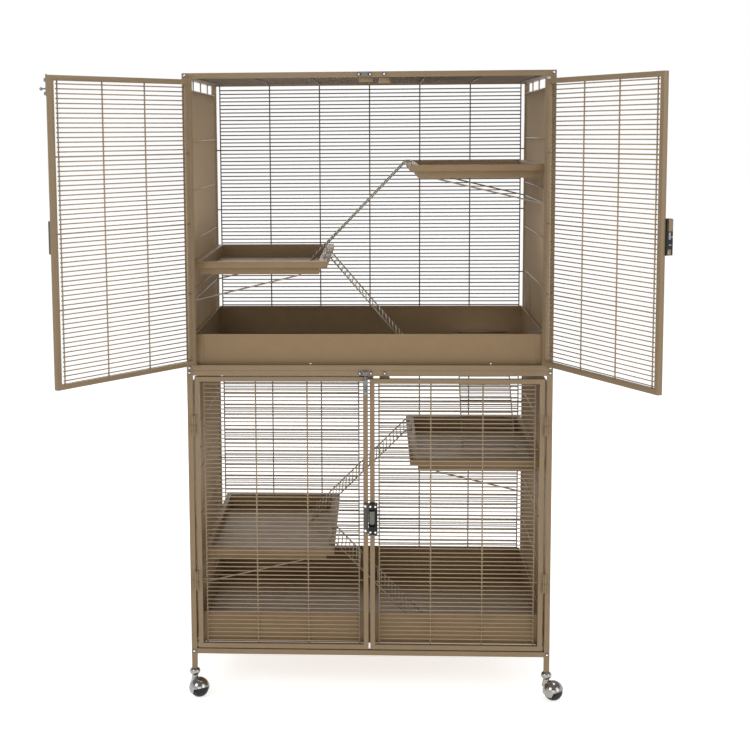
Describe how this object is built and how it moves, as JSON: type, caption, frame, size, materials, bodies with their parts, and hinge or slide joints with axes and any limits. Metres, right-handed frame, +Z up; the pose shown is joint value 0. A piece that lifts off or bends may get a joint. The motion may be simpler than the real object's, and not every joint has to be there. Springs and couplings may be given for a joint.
{
  "type": "wire small-animal cage",
  "caption": "Tall two-storey wire cage on ball castors, with hinged front doors, hanging shelves, wire ladders and deep floor trays.",
  "frame": {"origin": "on the floor, under the middle of the cage's frame", "axes": "+X towards the right-hand door seen from the front, +Y towards the back, +Z up"},
  "size_m": [1.4415, 1.0594, 1.651],
  "materials": {
    "frame_paint": "taupe powder coat with a faint metallic sheen",
    "door_paint": "taupe powder coat with a faint metallic sheen",
    "wire_paint": "taupe powder coat on welded wire",
    "tray_paint": "satin taupe powder coat",
    "bolt_chrome": "bright zinc and chrome",
    "castor_chrome": "polished chrome",
    "lever_chrome": "polished chrome",
    "latch_black": "black satin plastic",
    "strike_dark": "dark bronze lacquer",
    "wheel_black": "matt black"
  },
  "bodies": {
    "frame": {"lower_left_side_frame": "frame_paint", "lower_right_side_frame": "frame_paint", "upper_left_side_frame": "frame_paint", "upper_right_side_frame": "frame_paint", "lower_cross_rails": "frame_paint", "upper_cross_rails": "frame_paint", "lower_back_mesh": "wire_paint", "lower_left_mesh": "wire_paint", "lower_right_mesh": "wire_paint", "upper_back_mesh": "wire_paint", "upper_left_mesh": "wire_paint", "upper_right_mesh": "wire_paint", "top_mesh": "wire_paint", "legs": "frame_paint", "frame_bolts": "bolt_chrome", "tray_runners": "frame_paint", "lower_tray": "tray_paint", "upper_tray": "tray_paint", "tray_rivets": "tray_paint", "lower_left_shelf": "tray_paint", "lower_right_shelf": "tray_paint", "upper_left_shelf": "tray_paint", "upper_right_shelf": "tray_paint", "shelf_braces": "wire_paint", "hinge_pins": "frame_paint", "bolt_keepers": "bolt_chrome", "door_stops": "frame_paint", "castor_collars": "castor_chrome"},
    "lower_left_door": {"lower_left_door_frame": "door_paint", "lower_left_door_mesh": "wire_paint", "lower_latch_strike": "strike_dark", "lower_bolt_guide": "bolt_chrome"},
    "lower_right_door": {"lower_right_door_frame": "door_paint", "lower_right_door_mesh": "wire_paint", "lower_latch_body": "latch_black"},
    "lower_lever": {"lower_latch_lever": "lever_chrome"},
    "lower_bolt": {"lower_slide_bolt": "bolt_chrome"},
    "upper_left_door": {"upper_left_door_frame": "door_paint", "upper_left_door_mesh": "wire_paint", "upper_latch_strike": "strike_dark", "upper_bolt_guide": "bolt_chrome"},
    "upper_right_door": {"upper_right_door_frame": "door_paint", "upper_right_door_mesh": "wire_paint", "upper_latch_body": "latch_black"},
    "upper_lever": {"upper_latch_lever": "lever_chrome"},
    "upper_bolt": {"upper_slide_bolt": "bolt_chrome"},
    "castor_front_left": {"castor_front_left_hood": "castor_chrome"},
    "ball_front_left": {"castor_front_left_wheel": "wheel_black"},
    "castor_front_right": {"castor_front_right_hood": "castor_chrome"},
    "ball_front_right": {"castor_front_right_wheel": "wheel_black"},
    "castor_rear_left": {"castor_rear_left_hood": "castor_chrome"},
    "ball_rear_left": {"castor_rear_left_wheel": "wheel_black"},
    "castor_rear_right": {"castor_rear_right_hood": "castor_chrome"},
    "ball_rear_right": {"castor_rear_right_wheel": "wheel_black"},
    "upper_shelf_ladder_body": {"upper_shelf_ladder": "wire_paint"},
    "upper_tray_ladder_body": {"upper_tray_ladder": "wire_paint"},
    "lower_shelf_ladder_body": {"lower_shelf_ladder": "wire_paint"},
    "lower_tray_ladder_body": {"lower_tray_ladder": "wire_paint"},
    "hatch_ladder_body": {"hatch_ladder": "wire_paint"}
  },
  "joints": [
    {"name": "lower_left_door_hinge", "type": "hinge", "parent": "frame", "child": "lower_left_door", "pos_m": [-0.45825, -0.31975, 0.499], "axis": [0, 0, -1], "range_deg": [0, 170]},
    {"name": "lower_right_door_hinge", "type": "hinge", "parent": "frame", "child": "lower_right_door", "pos_m": [0.45825, -0.31975, 0.499], "axis": [0, 0, 1], "range_deg": [0, 170]},
    {"name": "lower_latch_lever_pivot", "type": "hinge", "parent": "lower_right_door", "child": "lower_lever", "pos_m": [0.0078, -0.3314, 0.511], "axis": [-1, 0, 0], "range_deg": [0, 35], "stiffness_Nm_per_rad": 0.05, "springref_deg": -11.46},
    {"name": "lower_slide_bolt_slide", "type": "slide", "parent": "lower_left_door", "child": "lower_bolt", "axis": [0, 0, 1], "range_m": [0, 0.013]},
    {"name": "upper_left_door_hinge", "type": "hinge", "parent": "frame", "child": "upper_left_door", "pos_m": [-0.45825, -0.31975, 1.267], "axis": [0, 0, -1], "range_deg": [-128, 42]},
    {"name": "upper_right_door_hinge", "type": "hinge", "parent": "frame", "child": "upper_right_door", "pos_m": [0.45825, -0.31975, 1.267], "axis": [0, 0, 1], "range_deg": [-118, 52]},
    {"name": "upper_latch_lever_pivot", "type": "hinge", "parent": "upper_right_door", "child": "upper_lever", "pos_m": [0.68001, -0.712, 1.279], "axis": [0.4695, -0.8829, 0], "range_deg": [0, 35], "stiffness_Nm_per_rad": 0.05, "springref_deg": -11.46},
    {"name": "upper_slide_bolt_slide", "type": "slide", "parent": "upper_left_door", "child": "upper_bolt", "axis": [0, 0, 1], "range_m": [0, 0.013]},
    {"name": "castor_front_left_swivel", "type": "hinge", "parent": "frame", "child": "castor_front_left", "pos_m": [-0.468, -0.308, 0.06], "axis": [0, 0, 1], "continuous": true},
    {"name": "castor_front_left_roll", "type": "hinge", "parent": "castor_front_left", "child": "ball_front_left", "pos_m": [-0.45514, -0.32332, 0.025], "axis": [0.766, 0.6428, 0], "continuous": true},
    {"name": "castor_front_right_swivel", "type": "hinge", "parent": "frame", "child": "castor_front_right", "pos_m": [0.468, -0.308, 0.06], "axis": [0, 0, 1], "continuous": true},
    {"name": "castor_front_right_roll", "type": "hinge", "parent": "castor_front_right", "child": "ball_front_right", "pos_m": [0.48532, -0.318, 0.025], "axis": [0.5, 0.866, 0], "continuous": true},
    {"name": "castor_rear_left_swivel", "type": "hinge", "parent": "frame", "child": "castor_rear_left", "pos_m": [-0.468, 0.308, 0.06], "axis": [0, 0, 1], "continuous": true},
    {"name": "castor_rear_left_roll", "type": "hinge", "parent": "castor_rear_left", "child": "ball_rear_left", "pos_m": [-0.48679, 0.30116, 0.025], "axis": [0.342, -0.9397, 0], "continuous": true},
    {"name": "castor_rear_right_swivel", "type": "hinge", "parent": "frame", "child": "castor_rear_right", "pos_m": [0.468, 0.308, 0.06], "axis": [0, 0, 1], "continuous": true},
    {"name": "castor_rear_right_roll", "type": "hinge", "parent": "castor_rear_right", "child": "ball_rear_right", "pos_m": [0.478, 0.29068, 0.025], "axis": [0.866, 0.5, 0], "continuous": true},
    {"name": "upper_shelf_ladder_lift", "type": "hinge", "parent": "frame", "child": "upper_shelf_ladder_body", "pos_m": [0.12, 0.125, 1.415], "axis": [0, 1, 0], "range_deg": [0, 20]},
    {"name": "upper_tray_ladder_lift", "type": "hinge", "parent": "frame", "child": "upper_tray_ladder_body", "pos_m": [-0.12, -0.102, 1.166], "axis": [0, -1, 0], "range_deg": [0, 20]},
    {"name": "lower_shelf_ladder_lift", "type": "hinge", "parent": "frame", "child": "lower_shelf_ladder_body", "pos_m": [0.12, 0.137, 0.64], "axis": [0, 1, 0], "range_deg": [0, 20]},
    {"name": "lower_tray_ladder_lift", "type": "hinge", "parent": "frame", "child": "lower_tray_ladder_body", "pos_m": [-0.106, -0.16, 0.3955], "axis": [0, -1, 0], "range_deg": [0, 20]},
    {"name": "hatch_ladder_lift", "type": "hinge", "parent": "frame", "child": "hatch_ladder_body", "pos_m": [0.335, 0.28, 0.8952], "axis": [-1, 0, 0], "range_deg": [0, 20]}
  ]
}
